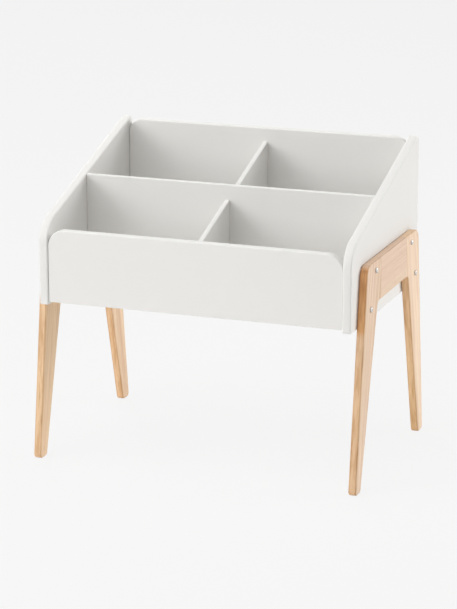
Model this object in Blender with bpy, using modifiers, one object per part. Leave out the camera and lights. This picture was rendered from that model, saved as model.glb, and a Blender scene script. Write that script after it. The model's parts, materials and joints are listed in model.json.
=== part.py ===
"""A children's book bin: a white tray with four open compartments on two splayed wooden leg frames.

Metres, +Z up. X runs from side to side, the front faces -Y, and the origin is on the floor under the middle.
"""

import math

import bmesh
import bpy
from mathutils import Matrix, Vector

# Boards
INNER_WIDTH = 0.542  # clear width between the two side panels
BOARD = 0.016  # sides, front, back and bottom
DIVIDER_BOARD = 0.009
LEG_BOARD = 0.015

# Side panels
TRAY_DEPTH = 0.400
TRAY_BOTTOM = 0.2855  # lower edge of the side panels, above the floor
SIDE_FRONT_HEIGHT = 0.144  # where the slanted top, carried on, meets the front edge
SIDE_REAR_HEIGHT = 0.2735
SIDE_FRONT_RADIUS = 0.048
SIDE_REAR_RADIUS = 0.012

# Front, back and bottom panels
PANEL_SETBACK = 0.0034  # front and back panels, behind the side panels' edges
PANEL_LIFT = 0.005  # their lower edges, above the side panels' lower edges
FRONT_HEIGHT = 0.131
FRONT_RADIUS = 0.030
BACK_HEIGHT = 0.261
BACK_RADIUS = 0.025
FLOOR_LIFT = 0.008  # underside of the bottom panel, above the front panel's lower edge

# Dividers
FRONT_BAY_DEPTH = 0.158  # clear depth of the front compartments
CROSS_DROP = 0.002  # top of the cross divider, below the sides' slant
DIVIDER_FRONT_DROP = 0.014  # front end of the long divider's top, below the front panel's top
DIVIDER_REAR_DROP = 0.025  # rear end of the long divider's top, below the back panel's top
GROOVE_DEPTH = 0.004
TONGUE_DROP = 0.030  # the cross divider's end tongues stop this far below its top

# Leg frames
TOE_OVERHANG = 0.0068  # foot in front of the side panel's front edge
FOOT_LENGTH = 0.0272  # along the floor, front to back
TOE_LEAN = 0.133  # run per rise of the leg's outer edge
HEEL_LEAN = 0.270  # run per rise of the leg's inner edge
FOOT_RADIUS = 0.008
KNEE_RADIUS = 0.012  # where the leg's inner edge turns into the rail's lower edge
SHOULDER_RADIUS = 0.020  # top corner of the leg
RAIL_LIFT = 0.033  # lower edge of the rail, above the side panels' lower edges
RAIL_HEIGHT = 0.075
KNEE_REACH = 0.0156  # from the leg's inner edge, at the rail's lower edge, to its joint with the rail

# Edge rounding
BOARD_ROUND = 0.003
DIVIDER_ROUND = 0.002
FLOOR_ROUND = 0.001
WOOD_ROUND = 0.003
ROUND_STEPS = 3
ARC_ERROR = 0.0001  # most that a corner's arc may stand off its true curve

# Leg bolts and their insert nuts
BOLT_DIAMETER = 0.005
BOLT_HEAD_DIAMETER = 0.0095
BOLT_HEAD_HEIGHT = 0.00275
BOLT_RIM_HEIGHT = 0.0008  # straight rim under the head's dome
SOCKET_ACROSS = 0.0030  # hexagon socket, flat to flat
SOCKET_DEPTH = 0.0014
INSERT_DIAMETER = 0.0096
INSERT_COVER = 0.0034  # board left between an insert's hole and the tray's inner face
UPPER_BOLT_INSET = 0.030  # from the joint with the rail
UPPER_BOLT_DROP = 0.016  # below the rail's top
LOWER_BOLT_INSET = 0.029  # from the leg's outer edge
LOWER_BOLT_DROP = 0.004  # below the rail's lower edge

# Dowels
DOWEL_DIAMETER = 0.008
DOWEL_CHAMFER = 0.001
RAIL_DOWEL_LENGTH = 0.040
RAIL_DOWEL_SPACING = 0.038
PANEL_DOWEL_LENGTH = 0.030
PANEL_DOWEL_IN_SIDE = 0.0105  # the length that sits in the side panel

# Cam fittings
CAM_DIAMETER = 0.015
CAM_COVER = 0.003  # board left under a cam
CAM_SETBACK = 0.024  # cam's axis from the end of its panel
CAM_SLOT_DEPTH = 0.0015  # screwdriver slot
CAM_SLOT_WIDTH = 0.0018
CAM_BOLT_DIAMETER = 0.006
CAM_NECK_DIAMETER = 0.004
CAM_HEAD_DIAMETER = 0.0066
CAM_HEAD_LENGTH = 0.003
CAM_BOLT_IN_SIDE = 0.011

# Places of the fittings, as shares of the straight end of each panel
FRONT_CAMS = (0.75,)
FRONT_DOWELS = (0.30,)
BACK_CAMS = (0.38, 0.86)
BACK_DOWELS = (0.16,)
BOTTOM_CAMS = (0.25,)
BOTTOM_DOWELS = (0.75,)

FIT_GAP = 0.0003  # between pieces that touch or fit into each other
OVERCUT = 0.001  # cutters reach this far past the face they enter
TURN_STEPS = 12  # sides of the hidden round pieces and of every hole
BOLT_STEPS = 16

# Worked out from the sizes above
HALF_WIDTH = INNER_WIDTH / 2
HALF_DEPTH = TRAY_DEPTH / 2
SIDE_X = HALF_WIDTH + BOARD / 2
SIDE_OUTER_X = HALF_WIDTH + BOARD
LEG_X = SIDE_OUTER_X + FIT_GAP + LEG_BOARD / 2
LEG_OUTER_X = LEG_X + LEG_BOARD / 2
PANEL_Y = HALF_DEPTH - PANEL_SETBACK - BOARD / 2
BAY_END_Y = PANEL_Y - BOARD / 2  # inner faces of the front and back panels
PANEL_BOTTOM = TRAY_BOTTOM + PANEL_LIFT
FLOOR_Z = PANEL_BOTTOM + FLOOR_LIFT + BOARD / 2
FLOOR_TOP = FLOOR_Z + BOARD / 2
GROOVE_FLOOR = FLOOR_TOP - GROOVE_DEPTH  # the dividers stand in grooves in the bottom panel
CROSS_Y = -BAY_END_Y + FRONT_BAY_DEPTH + DIVIDER_BOARD / 2
SLANT = (SIDE_REAR_HEIGHT - SIDE_FRONT_HEIGHT) / TRAY_DEPTH
RAIL_BOTTOM = TRAY_BOTTOM + RAIL_LIFT
RAIL_TOP = RAIL_BOTTOM + RAIL_HEIGHT
FOOT_Y = -HALF_DEPTH - TOE_OVERHANG  # front end of the front foot
SEAM_Y = FOOT_Y + FOOT_LENGTH + HEEL_LEAN * RAIL_BOTTOM + KNEE_REACH  # front leg's end, against the rail
RAIL_LENGTH = -2 * (SEAM_Y + FIT_GAP)
CAM_HEIGHT = BOARD - CAM_COVER

ALONG_X = (math.pi / 2, 0, math.pi / 2)  # turns an outline drawn in XY into the YZ plane
ALONG_X_TURNED = (math.pi / 2, 0, -math.pi / 2)
ALONG_Y = (math.pi / 2, 0, 0)  # turns an outline drawn in XY into the XZ plane
FLAT = (0, 0, 0)


def slant_height(y):
    """Height of the sides' slanted top, carried on as a straight line."""
    return TRAY_BOTTOM + SIDE_FRONT_HEIGHT + SLANT * (y + HALF_DEPTH)


def divider_height(y):
    """Top of the long divider, a straight line between the front and back panels."""
    front = PANEL_BOTTOM + FRONT_HEIGHT - DIVIDER_FRONT_DROP
    rear = PANEL_BOTTOM + BACK_HEIGHT - DIVIDER_REAR_DROP
    return front + (rear - front) * (y + BAY_END_Y) / (2 * BAY_END_Y)


def toe_y(z):
    """Outer edge of the front leg at this height."""
    return FOOT_Y + TOE_LEAN * z


def heel_y(z):
    """Inner edge of the front leg at this height."""
    return FOOT_Y + FOOT_LENGTH + HEEL_LEAN * z


def clear_scene():
    for obj in list(bpy.data.objects):
        bpy.data.objects.remove(obj)


def new_collection(name):
    collection = bpy.data.collections.new(name)
    bpy.context.scene.collection.children.link(collection)
    return collection


def new_material(name, colour, roughness, metallic=0.0):
    material = bpy.data.materials.new(name)
    material.use_nodes = True
    shader = material.node_tree.nodes["Principled BSDF"]
    shader.inputs["Base Color"].default_value = (*colour, 1.0)
    shader.inputs["Roughness"].default_value = roughness
    shader.inputs["Metallic"].default_value = metallic
    return material


clear_scene()
parts = new_collection("book_bin")
cutters = new_collection("cutters")
lacquer = new_material("white_lacquer", (0.84, 0.83, 0.81), 0.35)
wood = new_material("light_wood", (0.72, 0.52, 0.34), 0.55)
dowel_wood = new_material("dowel_wood", (0.66, 0.48, 0.31), 0.65)
steel = new_material("steel", (0.62, 0.61, 0.59), 0.30, 1.0)
zinc = new_material("zinc", (0.50, 0.50, 0.51), 0.45, 1.0)


def new_empty(name, location=(0, 0, 0), parent=None):
    empty = bpy.data.objects.new(name, None)
    empty.location = location
    empty.parent = parent
    parts.objects.link(empty)
    return empty


def place(name, mesh, material, parent, location, rotation=FLAT):
    """A named piece. The location is given in the model's frame, whatever its parent."""
    obj = bpy.data.objects.new(name, mesh)
    if not mesh.materials:
        mesh.materials.append(material)
    obj.parent = parent
    obj.location = Vector(location) - parent.location
    obj.rotation_euler = rotation
    parts.objects.link(obj)
    return obj


def evaluated_mesh(obj):
    """The object's shape with its modifiers applied. The object itself is removed."""
    graph = bpy.context.evaluated_depsgraph_get()
    mesh = bpy.data.meshes.new_from_object(obj.evaluated_get(graph))
    bpy.data.objects.remove(obj)
    return mesh


def rounded_outline(corners):
    """The outline through (u, v, radius) corners, each rounded by an arc of its radius."""
    outline = []
    for i, (u, v, radius) in enumerate(corners):
        corner = Vector((u, v))
        if radius == 0:
            outline.append(corner)
            continue
        back = (Vector(corners[i - 1][:2]) - corner).normalized()
        onward = (Vector(corners[(i + 1) % len(corners)][:2]) - corner).normalized()
        half = back.angle(onward) / 2
        centre = corner + (back + onward).normalized() * radius / math.sin(half)
        first = corner + back * radius / math.tan(half) - centre
        last = corner + onward * radius / math.tan(half) - centre
        turn = math.atan2(first.x * last.y - first.y * last.x, first.dot(last))
        steps = math.ceil(abs(turn) / (2 * math.acos(1 - ARC_ERROR / radius)))
        for step in range(steps + 1):
            outline.append(centre + Matrix.Rotation(turn * step / steps, 2) @ first)
    return outline


def board_mesh(name, outline, thickness, rounding, stays_sharp=None):
    """A board of this outline, as thick in Z on both sides of XY, with its edges rounded."""
    curve = bpy.data.curves.new(name, "CURVE")
    curve.dimensions = "2D"
    curve.fill_mode = "BOTH"
    curve.extrude = thickness / 2
    spline = curve.splines.new("POLY")
    spline.points.add(len(outline) - 1)
    for point, (u, v) in zip(spline.points, outline):
        point.co = (u, v, 0, 1)
    spline.use_cyclic_u = True
    guide = bpy.data.objects.new(name, curve)
    parts.objects.link(guide)
    mesh = evaluated_mesh(guide)
    bpy.data.curves.remove(curve)

    shape = bmesh.new()
    shape.from_mesh(mesh)
    bmesh.ops.remove_doubles(shape, verts=shape.verts, dist=1e-6)
    bmesh.ops.dissolve_limit(shape, angle_limit=0.002, verts=shape.verts, edges=shape.edges)
    bmesh.ops.recalc_face_normals(shape, faces=shape.faces)
    edges = [edge for edge in shape.edges if edge.calc_face_angle() > math.radians(40)]
    if stays_sharp:
        edges = [edge for edge in edges if not all(stays_sharp(vert.co) for vert in edge.verts)]
    bmesh.ops.bevel(
        shape,
        geom=edges,
        offset=rounding,
        offset_type="OFFSET",
        segments=ROUND_STEPS,
        profile=0.5,
        affect="EDGES",
    )
    shape.to_mesh(mesh)
    shape.free()
    mesh.name = name
    mesh.shade_smooth()
    mesh.set_sharp_from_angle(angle=math.radians(40))
    return mesh


def turned_mesh(name, profile, closed=False, steps=TURN_STEPS):
    """A shape turned round Z from (radius, height) points, which run down its outer side."""
    edges = [(i, i + 1) for i in range(len(profile) - 1)]
    if closed:
        edges.append((len(profile) - 1, 0))
    mesh = bpy.data.meshes.new(name)
    mesh.from_pydata([(radius, 0, height) for radius, height in profile], edges, [])
    guide = bpy.data.objects.new(name, mesh)
    parts.objects.link(guide)
    screw = guide.modifiers.new("turn", "SCREW")
    screw.axis = "Z"
    screw.steps = steps
    screw.render_steps = steps
    screw.use_merge_vertices = True
    screw.merge_threshold = 1e-5
    turned = evaluated_mesh(guide)
    bpy.data.meshes.remove(mesh)

    shape = bmesh.new()
    shape.from_mesh(turned)
    bmesh.ops.recalc_face_normals(shape, faces=shape.faces)
    shape.to_mesh(turned)
    shape.free()
    turned.name = name
    turned.shade_smooth()
    turned.set_sharp_from_angle(angle=math.radians(35))
    return turned


def dowel_mesh(name, length):
    radius = DOWEL_DIAMETER / 2
    end = length / 2
    profile = [
        (0, end),
        (radius - DOWEL_CHAMFER, end),
        (radius, end - DOWEL_CHAMFER),
        (radius, DOWEL_CHAMFER - end),
        (radius - DOWEL_CHAMFER, -end),
        (0, -end),
    ]
    return turned_mesh(name, profile)


def hole_cutter(mouth, direction, depth, diameter, steps=TURN_STEPS):
    """A cutter from just outside the mouth to the hole's depth, its flat sides round the diameter."""
    direction = Vector(direction).normalized()
    radius = diameter / 2 / math.cos(math.pi / steps)
    length = depth + OVERCUT
    middle = Vector(mouth) + direction * (depth - OVERCUT) / 2
    turn = direction.to_track_quat("Z", "Y").to_matrix().to_4x4()
    shape = bmesh.new()
    bmesh.ops.create_cone(
        shape,
        cap_ends=True,
        segments=steps,
        radius1=radius,
        radius2=radius,
        depth=length,
        matrix=Matrix.Translation(middle) @ turn,
    )
    return cutter_object("hole", shape)


def box_cutter(low, high):
    low, high = Vector(low), Vector(high)
    shape = bmesh.new()
    size = Matrix.Diagonal((*(high - low), 1))
    bmesh.ops.create_cube(shape, size=1, matrix=Matrix.Translation((low + high) / 2) @ size)
    return cutter_object("groove", shape)


def cutter_object(name, shape):
    mesh = bpy.data.meshes.new(name)
    shape.to_mesh(mesh)
    shape.free()
    return bpy.data.objects.new(name + "_cutter", mesh)


def cut(obj, tools):
    """Takes the cutters out of the piece."""
    group = bpy.data.collections.new(obj.name + "_cuts")
    cutters.children.link(group)
    for tool in tools:
        tool.hide_render = True
        tool.display_type = "WIRE"
        group.objects.link(tool)
    joinery = obj.modifiers.new("joinery", "BOOLEAN")
    joinery.operation = "DIFFERENCE"
    joinery.operand_type = "COLLECTION"
    joinery.collection = group
    joinery.solver = "EXACT"


def carved_mesh(mesh, tools):
    """The mesh with the cutters taken out, for a shape that several pieces share."""
    obj = bpy.data.objects.new(mesh.name, mesh)
    parts.objects.link(obj)
    for tool in tools:
        cutters.objects.link(tool)
        carve = obj.modifiers.new("carve", "BOOLEAN")
        carve.operation = "DIFFERENCE"
        carve.object = tool
        carve.solver = "EXACT"
    carved = evaluated_mesh(obj)
    for tool in tools:
        bpy.data.objects.remove(tool)
    carved.name = mesh.name
    return carved


def bolt_spots():
    """(y, z) of the front leg's two bolts."""
    upper = (SEAM_Y - UPPER_BOLT_INSET, RAIL_TOP - UPPER_BOLT_DROP)
    lower_z = RAIL_BOTTOM - LOWER_BOLT_DROP
    return {"upper": upper, "lower": (toe_y(lower_z) + LOWER_BOLT_INSET, lower_z)}


def rail_dowel_heights():
    middle = RAIL_BOTTOM + RAIL_HEIGHT / 2
    return {"upper": middle + RAIL_DOWEL_SPACING / 2, "lower": middle - RAIL_DOWEL_SPACING / 2}


def panel_joints():
    """Where each panel's ends are fixed to the sides: its cams, its dowels and the face the cams enter."""

    def upright(y, height, shares):
        return [Vector((0, y, PANEL_BOTTOM + height * share)) for share in shares]

    def level(shares):
        return [Vector((0, BAY_END_Y * (2 * share - 1), FLOOR_Z)) for share in shares]

    front_end = FRONT_HEIGHT - FRONT_RADIUS
    back_end = BACK_HEIGHT - BACK_RADIUS
    behind = Vector((0, 1, 0))
    below = Vector((0, 0, -1))
    return {
        "front_panel": (
            upright(-PANEL_Y, front_end, FRONT_CAMS),
            upright(-PANEL_Y, front_end, FRONT_DOWELS),
            behind,
        ),
        "back_panel": (
            upright(PANEL_Y, back_end, BACK_CAMS),
            upright(PANEL_Y, back_end, BACK_DOWELS),
            behind,
        ),
        "bottom_panel": (level(BOTTOM_CAMS), level(BOTTOM_DOWELS), below),
    }


def fitted(diameter):
    """Diameter of the hole for a round piece."""
    return diameter + 2 * FIT_GAP


def side_cutters(side):
    """Every hole and groove of one side panel."""
    inward = Vector((-side, 0, 0))
    outward = -inward
    insert_depth = BOARD - INSERT_COVER
    tools = []
    for y, z in bolt_spots().values():
        for end in (1, -1):
            mouth = (side * SIDE_OUTER_X, end * y, z)
            tools.append(hole_cutter(mouth, inward, insert_depth, fitted(INSERT_DIAMETER)))
    for cams, dowels, _ in panel_joints().values():
        for spot in cams:
            mouth = spot + outward * HALF_WIDTH
            depth = CAM_BOLT_IN_SIDE + FIT_GAP
            tools.append(hole_cutter(mouth, outward, depth, fitted(CAM_BOLT_DIAMETER)))
        for spot in dowels:
            mouth = spot + outward * HALF_WIDTH
            depth = PANEL_DOWEL_IN_SIDE + FIT_GAP
            tools.append(hole_cutter(mouth, outward, depth, fitted(DOWEL_DIAMETER)))
    half_groove = DIVIDER_BOARD / 2 + FIT_GAP
    groove_top = slant_height(CROSS_Y) - CROSS_DROP - TONGUE_DROP + FIT_GAP
    ends_x = sorted((side * (HALF_WIDTH - OVERCUT), side * (HALF_WIDTH + GROOVE_DEPTH)))
    tools.append(
        box_cutter(
            (ends_x[0], CROSS_Y - half_groove, GROOVE_FLOOR),
            (ends_x[1], CROSS_Y + half_groove, groove_top),
        )
    )
    return tools


def panel_cutters(name):
    """The holes in both ends of the front, back or bottom panel."""
    cams, dowels, face = panel_joints()[name]
    end_x = HALF_WIDTH - FIT_GAP
    tools = []
    for side in (1, -1):
        outward = Vector((side, 0, 0))
        for spot in cams:
            end = spot + outward * end_x
            tools.append(hole_cutter(end, -outward, CAM_SETBACK, fitted(CAM_HEAD_DIAMETER)))
            mouth = spot + outward * (end_x - CAM_SETBACK) + face * BOARD / 2
            tools.append(hole_cutter(mouth, -face, CAM_HEIGHT + FIT_GAP, fitted(CAM_DIAMETER)))
        for spot in dowels:
            depth = PANEL_DOWEL_LENGTH - PANEL_DOWEL_IN_SIDE + FIT_GAP
            end = spot + outward * end_x
            tools.append(hole_cutter(end, -outward, depth, fitted(DOWEL_DIAMETER)))
    return tools


def end_groove(end):
    """The groove for the long divider, in the front (-1) or back (1) panel."""
    half_groove = DIVIDER_BOARD / 2 + FIT_GAP
    deep_y = end * (BAY_END_Y + GROOVE_DEPTH)
    mouth_y = end * (BAY_END_Y - OVERCUT)
    top = max(divider_height(mouth_y), divider_height(deep_y)) + FIT_GAP
    low_y, high_y = sorted((deep_y, mouth_y))
    return box_cutter((-half_groove, low_y, GROOVE_FLOOR), (half_groove, high_y, top))


def floor_grooves():
    """The two crossing grooves for the dividers, in the bottom panel."""
    half_groove = DIVIDER_BOARD / 2 + FIT_GAP
    top = FLOOR_TOP + OVERCUT
    return [
        box_cutter(
            (-HALF_WIDTH, CROSS_Y - half_groove, GROOVE_FLOOR),
            (HALF_WIDTH, CROSS_Y + half_groove, top),
        ),
        box_cutter((-half_groove, -BAY_END_Y, GROOVE_FLOOR), (half_groove, BAY_END_Y, top)),
    ]


# The tray
tray = new_empty("tray", (0, 0, TRAY_BOTTOM))

for side_name, side in (("left", -1), ("right", 1)):
    side_outline = rounded_outline(
        [
            (-HALF_DEPTH, TRAY_BOTTOM, 0),
            (HALF_DEPTH, TRAY_BOTTOM, 0),
            (HALF_DEPTH, slant_height(HALF_DEPTH), SIDE_REAR_RADIUS),
            (-HALF_DEPTH, slant_height(-HALF_DEPTH), SIDE_FRONT_RADIUS),
        ]
    )
    name = side_name + "_side_panel"
    mesh = board_mesh(name, side_outline, BOARD, BOARD_ROUND)
    panel = place(name, mesh, lacquer, tray, (side * SIDE_X, 0, 0), ALONG_X)
    cut(panel, side_cutters(side))

panel_half = HALF_WIDTH - FIT_GAP
for name, height, radius, end in (
    ("front_panel", FRONT_HEIGHT, FRONT_RADIUS, -1),
    ("back_panel", BACK_HEIGHT, BACK_RADIUS, 1),
):
    outline = rounded_outline(
        [
            (-panel_half, PANEL_BOTTOM, 0),
            (panel_half, PANEL_BOTTOM, 0),
            (panel_half, PANEL_BOTTOM + height, radius),
            (-panel_half, PANEL_BOTTOM + height, radius),
        ]
    )
    mesh = board_mesh(name, outline, BOARD, BOARD_ROUND)
    panel = place(name, mesh, lacquer, tray, (0, end * PANEL_Y, 0), ALONG_Y)
    cut(panel, panel_cutters(name) + [end_groove(end)])

floor_half_depth = BAY_END_Y - FIT_GAP
floor_outline = rounded_outline(
    [
        (-panel_half, -floor_half_depth, 0),
        (panel_half, -floor_half_depth, 0),
        (panel_half, floor_half_depth, 0),
        (-panel_half, floor_half_depth, 0),
    ]
)
mesh = board_mesh("bottom_panel", floor_outline, BOARD, FLOOR_ROUND)
panel = place("bottom_panel", mesh, lacquer, tray, (0, 0, FLOOR_Z))
cut(panel, panel_cutters("bottom_panel") + floor_grooves())

# The dividers, which cross in a half-lap: each is slotted to half the long divider's height
divider_foot = GROOVE_FLOOR + FIT_GAP
lap_height = (divider_foot + divider_height(CROSS_Y)) / 2
half_slot = DIVIDER_BOARD / 2 + FIT_GAP
tongue_half = HALF_WIDTH + GROOVE_DEPTH - FIT_GAP
cross_top = slant_height(CROSS_Y) - CROSS_DROP
tongue_top = cross_top - TONGUE_DROP
cross_outline = rounded_outline(
    [
        (-tongue_half, divider_foot, 0),
        (tongue_half, divider_foot, 0),
        (tongue_half, cross_top, 0),
        (-tongue_half, cross_top, 0),
    ]
)
mesh = board_mesh("cross_divider", cross_outline, DIVIDER_BOARD, DIVIDER_ROUND)
cross = place("cross_divider", mesh, lacquer, tray, (0, CROSS_Y, 0), ALONG_Y)
cross_front = CROSS_Y - DIVIDER_BOARD
cross_rear = CROSS_Y + DIVIDER_BOARD
notch_end = tongue_half + OVERCUT
notch_top = cross_top + OVERCUT
cut(
    cross,
    [
        box_cutter(
            (-half_slot, cross_front, GROOVE_FLOOR - OVERCUT),
            (half_slot, cross_rear, lap_height),
        ),
        box_cutter((panel_half, cross_front, tongue_top), (notch_end, cross_rear, notch_top)),
        box_cutter((-notch_end, cross_front, tongue_top), (-panel_half, cross_rear, notch_top)),
    ],
)

long_end = BAY_END_Y + GROOVE_DEPTH - FIT_GAP
long_outline = rounded_outline(
    [
        (-long_end, divider_foot, 0),
        (long_end, divider_foot, 0),
        (long_end, divider_height(long_end), 0),
        (-long_end, divider_height(-long_end), 0),
    ]
)
mesh = board_mesh("long_divider", long_outline, DIVIDER_BOARD, DIVIDER_ROUND)
divider = place("long_divider", mesh, lacquer, tray, (0, 0, 0), ALONG_X)
cut(
    divider,
    [
        box_cutter(
            (-DIVIDER_BOARD, CROSS_Y - half_slot, lap_height - FIT_GAP),
            (DIVIDER_BOARD, CROSS_Y + half_slot, cross_top + OVERCUT),
        )
    ],
)

# Cams, cam bolts and dowels at the ends of the front, back and bottom panels
cam_radius = CAM_DIAMETER / 2
head_room = fitted(CAM_HEAD_DIAMETER) / 2
cam_axis_depth = BOARD / 2 - FIT_GAP  # from the cam's face down to the bolt's axis
cam_mesh = turned_mesh(
    "cam",
    [(0, 0), (cam_radius, 0), (cam_radius, FIT_GAP - CAM_HEIGHT), (0, FIT_GAP - CAM_HEIGHT)],
)
cam_mesh = carved_mesh(
    cam_mesh,
    [
        box_cutter(
            (-head_room, -head_room, -cam_axis_depth - head_room),
            (CAM_DIAMETER, head_room, -cam_axis_depth + head_room),
        ),
        box_cutter(
            (-CAM_DIAMETER / 3, -CAM_SLOT_WIDTH / 2, -CAM_SLOT_DEPTH),
            (CAM_DIAMETER / 3, CAM_SLOT_WIDTH / 2, OVERCUT),
        ),
    ],
)
cam_bolt_tip = CAM_SETBACK + FIT_GAP  # from the side panel's inner face to the cam's axis
cam_bolt_mesh = turned_mesh(
    "cam_bolt",
    [
        (0, cam_bolt_tip),
        (CAM_HEAD_DIAMETER / 2, cam_bolt_tip),
        (CAM_HEAD_DIAMETER / 2, cam_bolt_tip - CAM_HEAD_LENGTH),
        (CAM_NECK_DIAMETER / 2, cam_bolt_tip - CAM_HEAD_LENGTH),
        (CAM_NECK_DIAMETER / 2, FIT_GAP),
        (CAM_BOLT_DIAMETER / 2, FIT_GAP),
        (CAM_BOLT_DIAMETER / 2, -CAM_BOLT_IN_SIDE),
        (0, -CAM_BOLT_IN_SIDE),
    ],
)
panel_dowel_mesh = dowel_mesh("panel_dowel", PANEL_DOWEL_LENGTH)
dowel_middle = HALF_WIDTH + PANEL_DOWEL_IN_SIDE - PANEL_DOWEL_LENGTH / 2
cam_x = HALF_WIDTH - FIT_GAP - CAM_SETBACK

for panel_name, (cams, dowels, face) in panel_joints().items():
    label = panel_name.removesuffix("_panel")
    for side_name, side in (("left", -1), ("right", 1)):
        outward = Vector((side, 0, 0))
        to_side = Matrix((outward, face.cross(outward), face)).transposed().to_euler()
        for number, spot in enumerate(cams, 1):
            mark = f"{label}_{side_name}_{number}"
            cam_face = spot + outward * cam_x + face * (BOARD / 2 - FIT_GAP)
            place(f"cam_{mark}", cam_mesh, zinc, tray, cam_face, to_side)
            bolt_seat = spot + outward * HALF_WIDTH
            inward_turn = (-outward).to_track_quat("Z", "Y").to_euler()
            place(f"cam_bolt_{mark}", cam_bolt_mesh, steel, tray, bolt_seat, inward_turn)
        for number, spot in enumerate(dowels, 1):
            mark = f"{label}_{side_name}_{number}"
            middle = spot + outward * dowel_middle
            turn = outward.to_track_quat("Z", "Y").to_euler()
            place(f"panel_dowel_{mark}", panel_dowel_mesh, dowel_wood, tray, middle, turn)

# The leg frames: the rear leg is the front leg turned half round, and both frames are alike
leg_outline = rounded_outline(
    [
        (toe_y(0), 0, FOOT_RADIUS),
        (heel_y(0), 0, FOOT_RADIUS),
        (heel_y(RAIL_BOTTOM), RAIL_BOTTOM, KNEE_RADIUS),
        (SEAM_Y, RAIL_BOTTOM, 0),
        (SEAM_Y, RAIL_TOP, 0),
        (toe_y(RAIL_TOP), RAIL_TOP, SHOULDER_RADIUS),
    ]
)
leg_mesh = board_mesh(
    "leg", leg_outline, LEG_BOARD, WOOD_ROUND, lambda point: point.x > SEAM_Y - FIT_GAP
)
half_rail = RAIL_LENGTH / 2
rail_outline = rounded_outline(
    [
        (-half_rail, RAIL_BOTTOM, 0),
        (half_rail, RAIL_BOTTOM, 0),
        (half_rail, RAIL_TOP, 0),
        (-half_rail, RAIL_TOP, 0),
    ]
)
rail_mesh = board_mesh(
    "rail", rail_outline, LEG_BOARD, WOOD_ROUND, lambda point: abs(point.x) > half_rail - FIT_GAP
)

head_radius = BOLT_HEAD_DIAMETER / 2
rim_top = FIT_GAP + BOLT_RIM_HEIGHT
head_top = FIT_GAP + BOLT_HEAD_HEIGHT
bolt_end = LEG_BOARD + FIT_GAP + BOARD - INSERT_COVER - 2 * FIT_GAP
crown_radius = SOCKET_ACROSS / 2 / math.cos(math.pi / 6) + FIT_GAP  # flat round the socket
dome_steps = (math.pi / 6, math.pi / 3, math.pi / 2)
dome = [
    (
        crown_radius + (head_radius - crown_radius) * math.sin(angle),
        rim_top + (head_top - rim_top) * math.cos(angle),
    )
    for angle in dome_steps
]
bolt_mesh = turned_mesh(
    "leg_bolt",
    [
        (0, head_top),
        (crown_radius, head_top),
        *dome,
        (head_radius, FIT_GAP),
        (BOLT_DIAMETER / 2, FIT_GAP),
        (BOLT_DIAMETER / 2, -bolt_end),
        (0, -bolt_end),
    ],
    steps=BOLT_STEPS,
)
socket = hole_cutter((0, 0, head_top), (0, 0, -1), SOCKET_DEPTH, SOCKET_ACROSS, steps=6)
bolt_mesh = carved_mesh(bolt_mesh, [socket])

insert_length = BOARD - INSERT_COVER - 2 * FIT_GAP
insert_outer = INSERT_DIAMETER / 2
insert_bore = fitted(BOLT_DIAMETER) / 2
insert_mesh = turned_mesh(
    "insert_nut",
    [
        (insert_bore, 0),
        (insert_outer, 0),
        (insert_outer, -insert_length),
        (insert_bore, -insert_length),
    ],
    closed=True,
)
rail_dowel_mesh = dowel_mesh("rail_dowel", RAIL_DOWEL_LENGTH)
rail_joint = RAIL_LENGTH / 2 + FIT_GAP / 2  # middle of the joint between rail and leg

for side_name, side in (("left", -1), ("right", 1)):
    frame = new_empty(side_name + "_leg_frame", (side * LEG_X, 0, 0))
    outward = Vector((side, 0, 0))
    bolt_turn = outward.to_track_quat("Z", "Y").to_euler()
    rail = place(side_name + "_rail", rail_mesh, wood, frame, (side * LEG_X, 0, 0), ALONG_X)
    rail_cuts = []
    for end_name, end, leg_turn in (("front", 1, ALONG_X), ("rear", -1, ALONG_X_TURNED)):
        name = f"{end_name}_{side_name}"
        leg = place(f"{name}_leg", leg_mesh, wood, frame, (side * LEG_X, 0, 0), leg_turn)
        leg_cuts = []
        for level, (y, z) in bolt_spots().items():
            mouth = Vector((side * LEG_OUTER_X, end * y, z))
            leg_cuts.append(
                hole_cutter(mouth, -outward, LEG_BOARD + OVERCUT, fitted(BOLT_DIAMETER))
            )
            place(f"leg_bolt_{name}_{level}", bolt_mesh, steel, frame, mouth, bolt_turn)
            insert_mouth = (side * (SIDE_OUTER_X - FIT_GAP), end * y, z)
            place(f"insert_nut_{name}_{level}", insert_mesh, zinc, frame, insert_mouth, bolt_turn)
        inward = Vector((0, end, 0))
        for level, z in rail_dowel_heights().items():
            joint = Vector((side * LEG_X, -end * rail_joint, z))
            depth = RAIL_DOWEL_LENGTH / 2 + FIT_GAP
            leg_cuts.append(hole_cutter(joint, -inward, depth, fitted(DOWEL_DIAMETER)))
            rail_cuts.append(hole_cutter(joint, inward, depth, fitted(DOWEL_DIAMETER)))
            along = inward.to_track_quat("Z", "Y").to_euler()
            place(f"rail_dowel_{name}_{level}", rail_dowel_mesh, dowel_wood, frame, joint, along)
        cut(leg, leg_cuts)
    cut(rail, rail_cuts)
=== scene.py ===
import json
import math

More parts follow.
